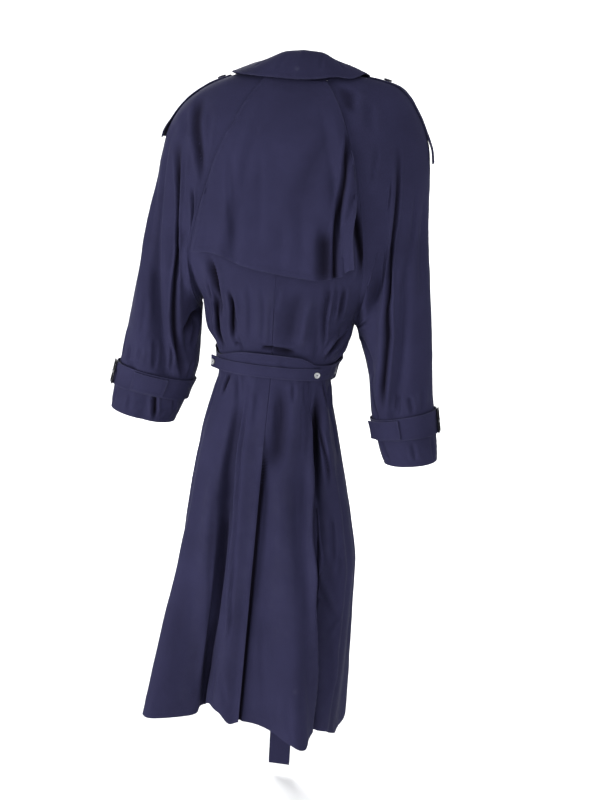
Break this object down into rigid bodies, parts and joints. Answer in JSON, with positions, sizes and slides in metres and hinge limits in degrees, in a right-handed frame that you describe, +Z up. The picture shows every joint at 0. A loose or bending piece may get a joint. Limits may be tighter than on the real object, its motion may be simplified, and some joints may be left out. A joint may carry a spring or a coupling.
{
  "type": "trench coat",
  "caption": "Belted raglan trench coat, filled out as on a wearer, with a turned collar, back storm flap, epaulettes, strapped cuffs, a buckled belt and a flared skirt with a back vent.",
  "frame": {"origin": "middle of the neck opening, between the wearer's shoulders", "axes": "+Z up, the coat's front faces -Y and its back +Y, and the wearer's left is +X"},
  "size_m": [0.6376, 0.3439, 1.4565],
  "materials": {
    "gabardine": "matt navy cotton gabardine",
    "light_button": "pale grey, polished",
    "navy_button": "dark navy, polished",
    "covered_buckle": "dark leather cover",
    "pin": "dark metal"
  },
  "bodies": {
    "root": {"back_left": "gabardine", "back_right": "gabardine", "front_left": "gabardine", "front_right": "gabardine", "lapel_left": "gabardine", "lapel_right": "gabardine", "collar_stand": "gabardine", "collar_fall": "gabardine", "storm_flap": "gabardine", "sleeve_left_back": "gabardine", "sleeve_left_front": "gabardine", "sleeve_right_back": "gabardine", "sleeve_right_front": "gabardine", "epaulette_left": "gabardine", "epaulette_right": "gabardine", "epaulette_button_left": "navy_button", "epaulette_button_right": "navy_button", "cuff_strap_left": "gabardine", "cuff_strap_right": "gabardine", "cuff_strap_end_left": "gabardine", "cuff_strap_end_right": "gabardine", "cuff_buckle_left": "covered_buckle", "cuff_buckle_right": "covered_buckle", "cuff_buckle_left_prong": "pin", "cuff_buckle_right_prong": "pin", "belt": "gabardine", "belt_tail": "gabardine", "belt_loop_left": "gabardine", "belt_loop_right": "gabardine", "belt_buckle": "covered_buckle", "belt_buckle_prong": "pin", "waist_strap": "gabardine", "waist_button_left": "light_button", "waist_button_right": "light_button", "front_button_left_1": "navy_button", "front_button_left_2": "navy_button", "front_button_left_3": "navy_button", "front_button_right_1": "navy_button", "front_button_right_2": "navy_button", "front_button_right_3": "navy_button"}
  },
  "joints": []
}
